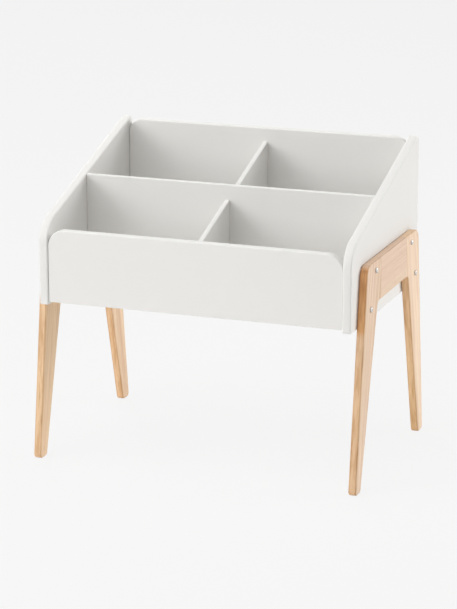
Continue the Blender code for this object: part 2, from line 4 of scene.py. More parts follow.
import bpy
import numpy as np
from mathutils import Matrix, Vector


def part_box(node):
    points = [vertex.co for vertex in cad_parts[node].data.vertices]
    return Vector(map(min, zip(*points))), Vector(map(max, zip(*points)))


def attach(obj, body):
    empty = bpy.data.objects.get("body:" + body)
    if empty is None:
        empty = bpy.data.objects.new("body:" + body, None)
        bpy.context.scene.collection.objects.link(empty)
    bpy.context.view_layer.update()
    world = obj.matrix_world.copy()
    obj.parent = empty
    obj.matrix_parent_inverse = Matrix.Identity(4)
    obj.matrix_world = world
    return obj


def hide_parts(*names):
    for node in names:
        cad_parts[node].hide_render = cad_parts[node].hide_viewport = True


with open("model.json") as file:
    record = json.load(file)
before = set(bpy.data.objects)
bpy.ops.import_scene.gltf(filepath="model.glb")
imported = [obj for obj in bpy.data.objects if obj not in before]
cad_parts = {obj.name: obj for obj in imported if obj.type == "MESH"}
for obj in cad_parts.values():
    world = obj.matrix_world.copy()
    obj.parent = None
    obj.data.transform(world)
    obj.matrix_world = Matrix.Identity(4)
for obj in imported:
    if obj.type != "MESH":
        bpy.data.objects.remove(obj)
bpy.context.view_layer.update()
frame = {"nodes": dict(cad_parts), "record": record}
nodes = frame["nodes"]
print("book bin: frame loaded,", len(nodes), "nodes")


# Surfaces

surfaceDetail = {
    "arcStep": 3.0,  # degrees between the points of a rounded corner
    "leastArcSteps": 4,
    "easeSteps": 8,
    "faceMargin": 0.0008,  # flat ring on a broad face, beside its eased edge
    "sharpAngle": 50.0,
}


def easedOutline(corners):
    # Corners are (u, v, radius, ease of the edge that follows), counter-clockwise.
    # A corner with a radius becomes an arc about the point that lies radius / sin(half the corner's angle)
    # from it on its bisector. The second result is the way inwards for one unit of edge easing. On an arc
    # it is the arc's own normal, times an ease that goes from the edge before to the edge after. At a sharp
    # corner it is the vector whose share along each edge's normal is that edge's ease.
    arcStep = math.radians(surfaceDetail["arcStep"])
    points = []
    inwards = []
    count = len(corners)
    for i, (u, v, radius, ease) in enumerate(corners):
        here = np.array([u, v])
        before = np.array(corners[i - 1][:2]) - here
        after = np.array(corners[(i + 1) % count][:2]) - here
        before = before / np.linalg.norm(before)
        after = after / np.linalg.norm(after)
        if radius == 0:
            normals = np.array([[before[1], -before[0]], [-after[1], after[0]]])
            points.append(here[None])
            inwards.append(np.linalg.solve(normals, [corners[i - 1][3], ease])[None])
            continue
        half = 0.5 * math.acos(np.clip(before @ after, -1, 1))
        bisector = before + after
        centre = here + bisector / np.linalg.norm(bisector) * radius / math.sin(half)
        first = here + before * radius / math.tan(half) - centre
        turn = math.pi - 2 * half
        side = 1.0 if before[0] * after[1] - before[1] * after[0] < 0 else -1.0
        steps = max(surfaceDetail["leastArcSteps"], math.ceil(turn / arcStep))
        stops = np.linspace(0, turn, steps + 1)
        angles = math.atan2(first[1], first[0]) + side * stops
        spokes = np.stack([np.cos(angles), np.sin(angles)], axis=1)
        points.append(centre + radius * spokes)
        share = np.linspace(corners[i - 1][3], ease, len(stops))[:, None]
        inwards.append(-side * share * spokes)
    return np.concatenate(points), np.concatenate(inwards)


def boardProfile(thickness, ease):
    # Edge profile from the upper face round to the lower one: a flat margin, a quarter circle of the easing
    # radius, the straight edge, and the same again. Gives inset from the outline, height, and the share of
    # the quarter turn from the broad face (0) to the narrow edge (1).
    angles = np.linspace(0, math.pi / 2, surfaceDetail["easeSteps"] + 1)
    inset = np.concatenate([[ease + surfaceDetail["faceMargin"]], ease * (1 - np.sin(angles))])
    lift = np.concatenate([[thickness / 2], thickness / 2 - ease * (1 - np.cos(angles))])
    turn = np.concatenate([[0], angles * 2 / math.pi])
    return (
        np.concatenate([inset, inset[::-1]]),
        np.concatenate([lift, -lift[::-1]]),
        np.concatenate([turn, turn[::-1]]),
    )


def ringFaces(rows, columns):
    # Quads between each ring and the next, and one face that closes each end.
    row, column = np.meshgrid(np.arange(rows - 1), np.arange(columns), indexing="ij")
    onward = (column + 1) % columns
    quads = np.stack([
        row * columns + column,
        (row + 1) * columns + column,
        (row + 1) * columns + onward,
        row * columns + onward,
    ], axis=-1).reshape(-1, 4)
    top = np.arange(columns)
    bottom = np.arange((rows - 1) * columns, rows * columns)[::-1]
    return quads.tolist() + [top.tolist(), bottom.tolist()]


def meshFromRings(name, rings, sharpAngle=surfaceDetail["sharpAngle"]):
    rows, columns, _ = rings.shape
    mesh = bpy.data.meshes.new(name)
    mesh.from_pydata(rings.reshape(-1, 3), [], ringFaces(rows, columns))
    mesh.polygons.foreach_set("use_smooth", np.ones(len(mesh.polygons), dtype=bool))
    mesh.set_sharp_from_angle(angle=math.radians(sharpAngle))
    mesh.update()
    return mesh


def addPiece(name, mesh, material, slotName, *replaced):
    piece = bpy.data.objects.new(name, mesh)
    bpy.context.scene.collection.objects.link(piece)
    mesh.materials.append(material)
    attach(piece, "root")
    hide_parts(*replaced)


def boardRings(corners, thickness, ease):
    # A board: the outline, drawn in by the profile's inset, at the profile's height. Axes are u, v, height.
    outline, inwards = easedOutline(corners)
    inset, lift, _ = boardProfile(thickness, ease)
    flat = outline[None] + inwards[None] * inset[:, None, None]
    height = np.broadcast_to(lift[:, None, None], flat.shape[:2] + (1,))
    return np.concatenate([flat, height], axis=2)


def standAlongY(rings, x):
    # u, v, height become y, z, x
    return rings[..., [2, 0, 1]] + np.array([x, 0, 0])


def standAlongX(rings, y):
    # u, v, height become x, z and minus y
    return rings[..., [0, 2, 1]] * np.array([1, -1, 1]) + np.array([0, y, 0])


def carved(mesh, cutters):
    # The mesh with closed cutter shapes taken out of it.
    board = bpy.data.objects.new("board", mesh)
    bpy.context.scene.collection.objects.link(board)
    tools = []
    for rings in cutters:
        tool = bpy.data.objects.new("cutter", meshFromRings("cutter", rings))
        bpy.context.scene.collection.objects.link(tool)
        cut = board.modifiers.new("cut", "BOOLEAN")
        cut.operation = "DIFFERENCE"
        cut.solver = "EXACT"
        cut.object = tool
        tools.append(tool)
    graph = bpy.context.evaluated_depsgraph_get()
    result = bpy.data.meshes.new_from_object(board.evaluated_get(graph))
    result.set_sharp_from_angle(angle=math.radians(surfaceDetail["sharpAngle"]))
    for item in tools + [board]:
        bpy.data.objects.remove(item)
    result.name = mesh.name
    return result


# Shader groups

def newGroup(name, inputs, outputs):
    group = bpy.data.node_groups.new(name, "ShaderNodeTree")
    for label, kind in inputs:
        group.interface.new_socket(label, in_out="INPUT", socket_type=kind)
    for label in outputs:
        group.interface.new_socket(label, in_out="OUTPUT", socket_type="NodeSocketFloat")
    return group, group.nodes.new("NodeGroupInput"), group.nodes.new("NodeGroupOutput")


def addNode(tree, kind, **values):
    node = tree.nodes.new(kind)
    for key, value in values.items():
        setattr(node, key, value)
    return node


def mathNode(tree, operation, first, second=0.0, clamp=False):
    node = addNode(tree, "ShaderNodeMath", operation=operation, use_clamp=clamp)
    for socket, value in zip(node.inputs, (first, second)):
        if isinstance(value, (int, float)):
            socket.default_value = value
        else:
            tree.links.new(value, socket)
    return node.outputs[0]


def mixValue(tree, factor, first, second, low=0.0, high=1.0):
    node = addNode(tree, "ShaderNodeMapRange", clamp=True)
    node.inputs["From Min"].default_value = low
    node.inputs["From Max"].default_value = high
    node.inputs["To Min"].default_value = first
    node.inputs["To Max"].default_value = second
    tree.links.new(factor, node.inputs["Value"])
    return node.outputs["Result"]


def grainNoise(tree, vector, cells, detail=2.0, roughness=0.5, span=(0.3, 0.7)):
    # Noise with its own cells per metre along X, Y and Z, and the part inside the span spread over 0 to 1.
    place = addNode(tree, "ShaderNodeMapping")
    place.inputs["Scale"].default_value = cells
    tree.links.new(vector, place.inputs["Vector"])
    noise = addNode(tree, "ShaderNodeTexNoise")
    noise.inputs["Scale"].default_value = 1.0
    noise.inputs["Detail"].default_value = detail
    noise.inputs["Roughness"].default_value = roughness
    tree.links.new(place.outputs["Vector"], noise.inputs["Vector"])
    return mixValue(tree, noise.outputs["Fac"], 0.0, 1.0, *span)


grainPattern = {
    "sway": {"cells": (2.4, 17.0, 11.0), "span": (0.0, 1.0)},
    "bands": {"cells": (1.5, 78.0, 46.0), "detail": 2.5},
    "streak": {"cells": (3.4, 310.0, 200.0), "roughness": 0.55},
    "fibre": {"cells": (24.0, 1050.0, 950.0), "roughness": 0.6, "span": (0.32, 0.56)},
    "drift": {"cells": (2.0, 20.0, 13.0), "detail": 1.0},
    "linesTurn": 360.0,  # radians of the figure's sine per metre across the grain
    "swayTurn": 30.0,  # radians that the sway can push it
    "bandShare": 0.55,
    "streakShare": 0.45,
    "streakRelief": 0.4,
}


def makeGrainGroup(pattern):
    # Long wood grain. The vector's X runs along the grain, Y and Z across it, in metres.
    # The figure is a sine across the grain whose phase a slow noise pushes to and fro, so its lines wander.
    group, start, end = newGroup(
        "woodGrain",
        [("Vector", "NodeSocketVector"), ("Figure", "NodeSocketFloat")],
        ["Tone", "Streak", "Fibre", "Drift", "Height"],
    )
    vector = start.outputs["Vector"]
    axes = addNode(group, "ShaderNodeSeparateXYZ")
    group.links.new(vector, axes.inputs["Vector"])
    sway = grainNoise(group, vector, **pattern["sway"])
    lines = mathNode(group, "MULTIPLY", axes.outputs["Y"], pattern["linesTurn"])
    phase = mathNode(group, "ADD", lines, mathNode(group, "MULTIPLY", sway, pattern["swayTurn"]))
    figure = mathNode(group, "MULTIPLY", mathNode(group, "SINE", phase), start.outputs["Figure"])
    bands = grainNoise(group, vector, **pattern["bands"])
    streak = grainNoise(group, vector, **pattern["streak"])
    fibre = grainNoise(group, vector, **pattern["fibre"])
    drift = grainNoise(group, vector, **pattern["drift"])
    body = mathNode(group, "MULTIPLY", bands, pattern["bandShare"])
    body = mathNode(group, "ADD", body, mathNode(group, "MULTIPLY", streak, pattern["streakShare"]))
    relief = mathNode(group, "ADD", fibre, mathNode(group, "MULTIPLY", streak, pattern["streakRelief"]))
    group.links.new(mathNode(group, "ADD", body, figure, clamp=True), end.inputs["Tone"])
    group.links.new(streak, end.inputs["Streak"])
    group.links.new(fibre, end.inputs["Fibre"])
    group.links.new(drift, end.inputs["Drift"])
    group.links.new(relief, end.inputs["Height"])
    return group


mottleDetail = {"Skin": 1.5, "Mottle": 3.0}  # octaves of each noise


def makeMottleGroup(details):
    # Fine skin and slow mottling of a finish, both from 0 to 1.
    group, start, end = newGroup(
        "finishMottle",
        [("Vector", "NodeSocketVector")] + [(label + " Scale", "NodeSocketFloat") for label in details],
        list(details),
    )
    for label, detail in details.items():
        noise = addNode(group, "ShaderNodeTexNoise")
        noise.inputs["Detail"].default_value = detail
        group.links.new(start.outputs["Vector"], noise.inputs["Vector"])
        group.links.new(start.outputs[label + " Scale"], noise.inputs["Scale"])
        group.links.new(noise.outputs["Fac"], end.inputs[label])
    return group


grainGroup = makeGrainGroup(grainPattern)
mottleGroup = makeMottleGroup(mottleDetail)


def newMaterial(name):
    material = bpy.data.materials.new(name)
    material.use_nodes = True
    tree = material.node_tree
    return material, tree, tree.nodes["Principled BSDF"]


def useGroup(tree, group, vector, **values):
    node = addNode(tree, "ShaderNodeGroup", node_tree=group)
    tree.links.new(vector, node.inputs["Vector"])
    for label, value in values.items():
        node.inputs[label.replace("_", " ")].default_value = value
    return node


def mixColour(tree, factor, first, second, blend="MIX"):
    node = addNode(tree, "ShaderNodeMix", data_type="RGBA", blend_type=blend)
    tree.links.new(factor, node.inputs["Factor"])
    for socket, value in ((node.inputs["A"], first), (node.inputs["B"], second)):
        if isinstance(value, tuple):
            socket.default_value = (*value, 1.0)
        else:
            tree.links.new(value, socket)
    return node.outputs["Result"]


def bumpInto(tree, shader, height, strength, distance):
    bump = addNode(tree, "ShaderNodeBump")
    bump.inputs["Strength"].default_value = strength
    bump.inputs["Distance"].default_value = distance
    tree.links.new(height, bump.inputs["Height"])
    tree.links.new(bump.outputs["Normal"], shader.inputs["Normal"])


# Finishes

lacquerLook = {
    "warm": (0.838, 0.826, 0.800),
    "cool": (0.822, 0.815, 0.796),
    "roughness": (0.70, 0.80),
    "skinScale": 420.0,
    "mottleScale": 5.0,
    "skinStrength": 0.25,
    "skinDepth": 0.00004,
}


def makeLacquer(look):
    material, tree, shader = newMaterial("whiteLacquer")
    place = addNode(tree, "ShaderNodeTexCoord").outputs["Object"]
    scales = {"Skin_Scale": look["skinScale"], "Mottle_Scale": look["mottleScale"]}
    mottle = useGroup(tree, mottleGroup, place, **scales)
    colour = mixColour(tree, mottle.outputs["Mottle"], look["warm"], look["cool"])
    tree.links.new(colour, shader.inputs["Base Color"])
    tree.links.new(mixValue(tree, mottle.outputs["Mottle"], *look["roughness"]), shader.inputs["Roughness"])
    bumpInto(tree, shader, mottle.outputs["Skin"], look["skinStrength"], look["skinDepth"])
    return material


woodLook = {
    "facePale": (0.875, 0.705, 0.550),
    "faceDeep": (0.735, 0.540, 0.392),
    "edgePale": (0.840, 0.597, 0.394),
    "edgeDeep": (0.690, 0.450, 0.267),
    "edgeTurn": (0.25, 0.7),  # shares of the easing's turn over which a face becomes an edge
    "toneMiddle": 0.5,
    "streak": (0.84, 0.75, 0.64),
    "streakSpan": (0.4, 1.0),
    "faceStreak": 0.5,
    # painted shade on the front legs' narrow edges above the tray's lower edge
    "panelShadeEdge": (1.06, 0.86, 0.60),
    "panelShadeHeights": (0.274, 0.284),
    "bleach": (1.14, 1.15, 1.17),
    # painted shade along the turn from broad face to narrow edge
    "arrisShade": (0.80, 0.73, 0.67),
    "arrisRise": (0.45, 0.75),
    "arrisFall": (0.85, 1.0),
    "fibre": (0.94, 0.91, 0.87),
    "driftHoney": (1.0, 0.985, 0.925),
    "driftPink": (1.0, 0.950, 0.965),
    "honey": (1.0, 0.960, 0.830),
    "roughness": (0.46, 0.60),
    "figure": 0.18,
    "reliefStrength": 0.3,
    "reliefDepth": 0.00005,
}
# attributes of the legs' and rails' points, each from 0 to 1
woodShares = ("edgeShare", "honeyShare", "edgeWarmth", "panelShadeShare", "bleachShare", "grainStrength")


def makeWood(look):
    # The narrow edges take more colour than the broad faces, and the turn between them takes a painted
    # shade line.
    # Above the tray's lower edge the front legs' narrow edges take a painted shade, darker and warmer,
    # where the side panel shades them.
    material, tree, shader = newMaterial("paleWood")
    grainPlace = addNode(tree, "ShaderNodeAttribute", attribute_name="grainSpace").outputs["Vector"]
    edge, honey, warmth, upper, bleach, strength = (
        addNode(tree, "ShaderNodeAttribute", attribute_name=label).outputs["Fac"] for label in woodShares
    )
    spot = addNode(tree, "ShaderNodeSeparateXYZ")
    tree.links.new(addNode(tree, "ShaderNodeTexCoord").outputs["Object"], spot.inputs["Vector"])
    above = mixValue(tree, spot.outputs["Z"], 0.0, 1.0, *look["panelShadeHeights"])
    grain = useGroup(tree, grainGroup, grainPlace, Figure=look["figure"])
    # the strength draws the tone in towards its middle
    tone = mathNode(tree, "SUBTRACT", grain.outputs["Tone"], look["toneMiddle"])
    tone = mathNode(tree, "ADD", mathNode(tree, "MULTIPLY", tone, strength), look["toneMiddle"])
    face = mixColour(tree, tone, look["facePale"], look["faceDeep"])
    side = mixColour(tree, tone, look["edgePale"], look["edgeDeep"])
    onEdge = mixValue(tree, edge, 0.0, 1.0, *look["edgeTurn"])
    onPanelShade = mathNode(tree, "MULTIPLY", onEdge, mathNode(tree, "MULTIPLY", upper, above))
    streakShare = mixValue(tree, edge, look["faceStreak"], 1.0, *look["edgeTurn"])
    streak = mixValue(tree, grain.outputs["Streak"], 0.0, 1.0, *look["streakSpan"])
    streak = mathNode(tree, "MULTIPLY", mathNode(tree, "MULTIPLY", streak, streakShare), strength)
    noDrift = mixValue(tree, grain.outputs["Drift"], 1.0, 0.0)
    noFibre = mixValue(tree, grain.outputs["Fibre"], 1.0, 0.0)
    rise = mixValue(tree, edge, 0.0, 1.0, *look["arrisRise"])
    fall = mixValue(tree, edge, 1.0, 0.0, *look["arrisFall"])
    body = mixColour(tree, mathNode(tree, "MULTIPLY", onEdge, warmth), face, side)
    for share, tint in (
        (onPanelShade, "panelShadeEdge"),
        (bleach, "bleach"),
        (streak, "streak"),
        (noDrift, "driftHoney"),
        (grain.outputs["Drift"], "driftPink"),
        (honey, "honey"),
        (noFibre, "fibre"),
        (mathNode(tree, "MULTIPLY", rise, fall), "arrisShade"),
    ):
        body = mixColour(tree, share, body, look[tint], "MULTIPLY")
    tree.links.new(body, shader.inputs["Base Color"])
    # the roughness falls from its high value to its low one as the fibre rises
    roughness = mixValue(tree, grain.outputs["Fibre"], *look["roughness"][::-1])
    tree.links.new(roughness, shader.inputs["Roughness"])
    bumpInto(tree, shader, grain.outputs["Height"], look["reliefStrength"], look["reliefDepth"])
    return material


dowelLook = {
    "pale": (0.74, 0.56, 0.38),
    "deep": (0.62, 0.43, 0.27),
    "roughness": (0.6, 0.75),
    "figure": 0.2,
    "reliefStrength": 0.4,
    "reliefDepth": 0.0001,
}


def makeDowelWood(look):
    material, tree, shader = newMaterial("dowelWood")
    place = addNode(tree, "ShaderNodeTexCoord").outputs["Object"]
    grain = useGroup(tree, grainGroup, place, Figure=look["figure"])
    colour = mixColour(tree, grain.outputs["Tone"], look["pale"], look["deep"])
    tree.links.new(colour, shader.inputs["Base Color"])
    tree.links.new(mixValue(tree, grain.outputs["Fibre"], *look["roughness"]), shader.inputs["Roughness"])
    bumpInto(tree, shader, grain.outputs["Height"], look["reliefStrength"], look["reliefDepth"])
    return material


steelLook = {
    "bright": (0.66, 0.65, 0.63),
    "dull": (0.55, 0.54, 0.52),
    "roughness": (0.34, 0.48),
    "skinScale": 2600.0,
    "mottleScale": 320.0,
    "skinStrength": 0.2,
    "skinDepth": 0.00003,
}
zincLook = {
    "bright": (0.56, 0.56, 0.57),
    "dull": (0.42, 0.42, 0.43),
    "roughness": (0.40, 0.58),
    "skinScale": 1500.0,
    "mottleScale": 320.0,
    "skinStrength": 0.2,
    "skinDepth": 0.00003,
}


def makeMetal(name, look):
    material, tree, shader = newMaterial(name)
    shader.inputs["Metallic"].default_value = 1.0
    place = addNode(tree, "ShaderNodeTexCoord").outputs["Object"]
    scales = {"Skin_Scale": look["skinScale"], "Mottle_Scale": look["mottleScale"]}
    mottle = useGroup(tree, mottleGroup, place, **scales)
    colour = mixColour(tree, mottle.outputs["Mottle"], look["bright"], look["dull"])
    tree.links.new(colour, shader.inputs["Base Color"])
    tree.links.new(mixValue(tree, mottle.outputs["Skin"], *look["roughness"]), shader.inputs["Roughness"])
    bumpInto(tree, shader, mottle.outputs["Skin"], look["skinStrength"], look["skinDepth"])
    return material


whiteLacquer = makeLacquer(lacquerLook)
paleWood = makeWood(woodLook)
dowelWood = makeDowelWood(dowelLook)
boltSteel = makeMetal("boltSteel", steelLook)
castZinc = makeMetal("castZinc", zincLook)
slotMaterials = {
    "white_lacquer": whiteLacquer,
    "light_wood": paleWood,
    "dowel_wood": dowelWood,
    "steel": boltSteel,
    "zinc": castZinc,
}
for entry in frame["record"]["subparts"]:
    nodeObject = nodes[entry["node"]]
    finish = slotMaterials[entry["material_slot"]]
    if not nodeObject.material_slots:
        nodeObject.data.materials.append(finish)
    for slot in nodeObject.material_slots:
        slot.material = finish
print("book bin: finishes made")


# Side panels

sidePanel = {
    "frontHeight": 0.144,
    "rearHeight": 0.27345,
    "frontRadius": 0.048,
    "rearRadius": 0.012,
    "lowerRadius": 0.004,
    "ease": 0.003,
    "lowerEase": 0.35,
}

for sideName in ("left", "right"):
    nodeName = sideName + "_side_panel"
    low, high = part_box(nodeName)
    corners = [
        (low[1], low[2], sidePanel["lowerRadius"], sidePanel["lowerEase"]),
        (high[1], low[2], sidePanel["lowerRadius"], 1),
        (high[1], low[2] + sidePanel["rearHeight"], sidePanel["rearRadius"], 1),
        (low[1], low[2] + sidePanel["frontHeight"], sidePanel["frontRadius"], 1),
    ]
    rings = boardRings(corners, high[0] - low[0], sidePanel["ease"])
    mesh = meshFromRings(sideName + "SideBoard", standAlongY(rings, (low[0] + high[0]) / 2))
    addPiece(sideName + "SideBoard", mesh, whiteLacquer, "white_lacquer", nodeName)
print("book bin: side panels made")


# Front and back panels, with the seats of their cams

endPanel = {
    "ease": 0.003,
    "endEase": 0.2,
    "lowerEase": 0.35,
    "lowerRadius": 0.004,
    "upperRadius": {"front": 0.030, "back": 0.025},
}
camShape = {
    "sides": 48,
    "sharpAngle": 30.0,
    "slack": 0.0003,
    "chamfer": 0.0004,
    "slotLength": 2.2,  # in radii of the cam
    "slotWidth": 0.0018,
    "slotDepth": 0.0015,
    "overcut": 0.002,
}


def drumRings(centre, radii, depths):
    # Circles about an axis along Y, one for each radius and y given, from the outer face inwards.
    angles = np.linspace(0, 2 * math.pi, camShape["sides"], endpoint=False)
    spokes = np.stack([np.cos(angles), np.zeros_like(angles), np.sin(angles)], axis=1)
    rings = np.array(radii)[:, None, None] * spokes[None]
    rings[..., 1] += np.array(depths)[:, None]
    # the outer face looks along +Y, so the circles run the other way round
    return (rings + np.array([centre[0], 0, centre[2]]))[:, ::-1]


def slotRings(centre, faceY, length):
    # A box across the drum's face: its rectangle, carried from above the face to the slot's depth.
    x = np.array([1, -1, -1, 1]) * length / 2 + centre[0]
    z = np.array([1, 1, -1, -1]) * camShape["slotWidth"] / 2 + centre[2]
    depths = (faceY + camShape["overcut"], faceY - camShape["slotDepth"])
    return np.stack([np.stack([x, np.full(4, y), z], axis=1) for y in depths])[:, ::-1]


for endName, camNumbers in (("front", (1,)), ("back", (1, 2))):
    nodeName = endName + "_panel"
    low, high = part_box(nodeName)
    upperRadius = endPanel["upperRadius"][endName]
    corners = [
        (low[0], low[2], endPanel["lowerRadius"], endPanel["lowerEase"]),
        (high[0], low[2], endPanel["lowerRadius"], endPanel["endEase"]),
        (high[0], high[2], upperRadius, 1),
        (low[0], high[2], upperRadius, endPanel["endEase"]),
    ]
    rings = boardRings(corners, high[1] - low[1], endPanel["ease"])
    mesh = meshFromRings(endName + "Board", standAlongX(rings, (low[1] + high[1]) / 2))
    seats = []
    for sideName in ("left", "right"):
        for number in camNumbers:
            camName = f"cam_{endName}_{sideName}_{number}"
            camLow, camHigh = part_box(camName)
            centre = [(a + b) / 2 for a, b in zip(camLow, camHigh)]
            radius = (camHigh[2] - camLow[2]) / 2
            seatRadius = radius + camShape["slack"]
            seatDepths = (high[1] + camShape["overcut"], camLow[1] - camShape["slack"])
            seats.append(drumRings(centre, (seatRadius, seatRadius), seatDepths))
            radii = (radius - camShape["chamfer"], radius, radius)
            drum = drumRings(centre, radii, (camHigh[1], camHigh[1] - camShape["chamfer"], camLow[1]))
            pieceName = f"{endName}{sideName.capitalize()}Cam{number}"
            drumMesh = meshFromRings(pieceName, drum, camShape["sharpAngle"])
            slotted = carved(drumMesh, [slotRings(centre, camHigh[1], camShape["slotLength"] * radius)])
            addPiece(pieceName, slotted, castZinc, "zinc", camName)
    addPiece(endName + "Board", carved(mesh, seats), whiteLacquer, "white_lacquer", nodeName)
print("book bin: front and back panels made")


# Dividers, slotted over each other where they cross

dividerShape = {
    "ease": 0.002,
    "jointEase": 0.05,
    "clear": 0.0003,
    "frontDrop": 0.014,
    "rearDrop": 0.025,
}


def makeDividers(shape):
    # The long board's top is a straight line, from a drop below the front panel's top to one below the
    # back panel's. Where the boards cross, each is notched to half way between the foot and that line.
    crossLow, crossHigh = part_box("cross_divider")
    longLow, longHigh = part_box("long_divider")
    frontLow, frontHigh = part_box("front_panel")
    backLow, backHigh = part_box("back_panel")
    crossY = (crossLow[1] + crossHigh[1]) / 2
    thickness = crossHigh[1] - crossLow[1]
    slot = thickness / 2 + shape["clear"]
    foot = crossLow[2]
    frontTop = frontHigh[2] - shape["frontDrop"]
    rise = (backHigh[2] - shape["rearDrop"] - frontTop) / (backLow[1] - frontHigh[1])
    frontEnd = frontHigh[1] + shape["clear"]
    rearEnd = backLow[1] - shape["clear"]
    y = np.array([frontEnd, crossY - slot, crossY, crossY + slot, rearEnd])
    top = frontTop + rise * (y - frontHigh[1])
    lap = (foot + top[2]) / 2
    joint = shape["jointEase"]
    crossCorners = [
        (frontLow[0], foot, 0, joint),
        (-slot, foot, 0, joint),
        (-slot, lap, 0, joint),
        (slot, lap, 0, joint),
        (slot, foot, 0, joint),
        (frontHigh[0], foot, 0, joint),
        (frontHigh[0], crossHigh[2], 0, 1),
        (frontLow[0], crossHigh[2], 0, joint),
    ]
    rings = boardRings(crossCorners, thickness, shape["ease"])
    mesh = meshFromRings("crossBoard", standAlongX(rings, crossY))
    addPiece("crossBoard", mesh, whiteLacquer, "white_lacquer", "cross_divider")
    longCorners = [
        (y[0], foot, 0, joint),
        (y[4], foot, 0, joint),
        (y[4], top[4], 0, 1),
        (y[3], top[3], 0, joint),
        (y[3], lap - shape["clear"], 0, joint),
        (y[1], lap - shape["clear"], 0, joint),
        (y[1], top[1], 0, 1),
        (y[0], top[0], 0, joint),
    ]
    rings = boardRings(longCorners, longHigh[0] - longLow[0], shape["ease"])
    mesh = meshFromRings("longBoard", standAlongY(rings, (longLow[0] + longHigh[0]) / 2))
    addPiece("longBoard", mesh, whiteLacquer, "white_lacquer", "long_divider")


makeDividers(dividerShape)
print("book bin: dividers made")


# Leg frames

legShape = {
    "toeOverhang": 0.0067,
    "footLength": 0.0272,
    "toeLean": 0.133,
    "heelLean": 0.270,
    "footRadius": 0.008,
    "kneeRadius": 0.012,
    "shoulderRadius": 0.020,
    "ease": 0.003,
    "jointEase": 0.04,
    "crownFade": 0.007,
    "crownCalm": 0.7,
    # where each piece's grain starts: along it, across it and through the board
    "grainPerSide": (0.7, 0.05, 0.031),
    "grainPerEnd": (1.9, 0.11, 0.0),
    "railGrainStart": (3.3, -0.2, 0.02),
    "railGrainPerSide": (1.0, 0.0, 0.0),
}
# honey and bleach are pairs: on the broad faces, and on the narrow edges
# upper is the share of painted shade that a leg's narrow edges take above the tray's lower edge
legTones = {
    "front_left": {"warmth": 0.65, "upper": 0.4, "honey": (1.0, 0.7), "bleach": (0.6, 0.25), "grain": 1.0},
    "rear_left": {"warmth": 1.0, "upper": 0.0, "honey": (0.75, 0.75), "bleach": (0.0, 0.42), "grain": 1.0},
    "front_right": {"warmth": 1.0, "upper": 1.0, "honey": (0.1, 0.1), "bleach": (0.0, 0.0), "grain": 1.0},
    "rear_right": {"warmth": 1.0, "upper": 0.0, "honey": (0.05, 0.7), "bleach": (0.8, 0.8), "grain": 1.0},
}
railTones = {
    "left": {"warmth": 0.3, "upper": 0.0, "honey": (0.4, 0.4), "bleach": (0.0, 0.0), "grain": 0.4},
    "right": {"warmth": 0.3, "upper": 0.0, "honey": (0.1, 0.1), "bleach": (0.0, 0.0), "grain": 0.4},
}


def setGrain(mesh, rings, along, offset, shares):
    # Grain coordinates: distance along the grain, across it and through the board, from the piece's start.
    u, v, height = rings[..., 0], rings[..., 1], rings[..., 2]
    length = along[0] * u + along[1] * v
    across = along[0] * v - along[1] * u
    space = np.stack([length, across, height], axis=-1) + offset
    grain = mesh.attributes.new("grainSpace", "FLOAT_VECTOR", "POINT")
    grain.data.foreach_set("vector", space.astype(np.float32).ravel())
    for label, value in shares.items():
        share = mesh.attributes.new(label, "FLOAT", "POINT")
        share.data.foreach_set("value", np.broadcast_to(value, u.shape).astype(np.float32).ravel())


def between(share, first, second):
    return first + share * (second - first)


def woodPiece(name, nodeName, corners, along, offset, tone, crownWarmth):
    # The edge share goes from 0 on the broad faces to 1 on the narrow ones, with the easing's turn.
    # The narrow faces' tones fade out just below the top, where a leg's wood is like the rail's.
    low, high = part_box(nodeName)
    thickness = high[0] - low[0]
    rings = boardRings(corners, thickness, legShape["ease"])
    mesh = meshFromRings(name, standAlongY(rings, (low[0] + high[0]) / 2))
    below = np.clip((high[2] - rings[..., 1]) / legShape["crownFade"], 0, 1)
    edgeShare = boardProfile(thickness, legShape["ease"])[2][:, None]
    shares = {
        "edgeShare": edgeShare,
        "edgeWarmth": between(below, crownWarmth, tone["warmth"]),
        # painted shade on the narrow edges above the tray's lower edge, fading out just below the top
        "panelShadeShare": below * tone["upper"],
        "honeyShare": between(edgeShare, *tone["honey"]),
        "bleachShare": between(edgeShare, *tone["bleach"]),
        "grainStrength": tone["grain"] * (1 - legShape["crownCalm"] * edgeShare * (1 - below)),
    }
    setGrain(mesh, rings, along, offset, shares)
    addPiece(name, mesh, paleWood, "light_wood", nodeName)


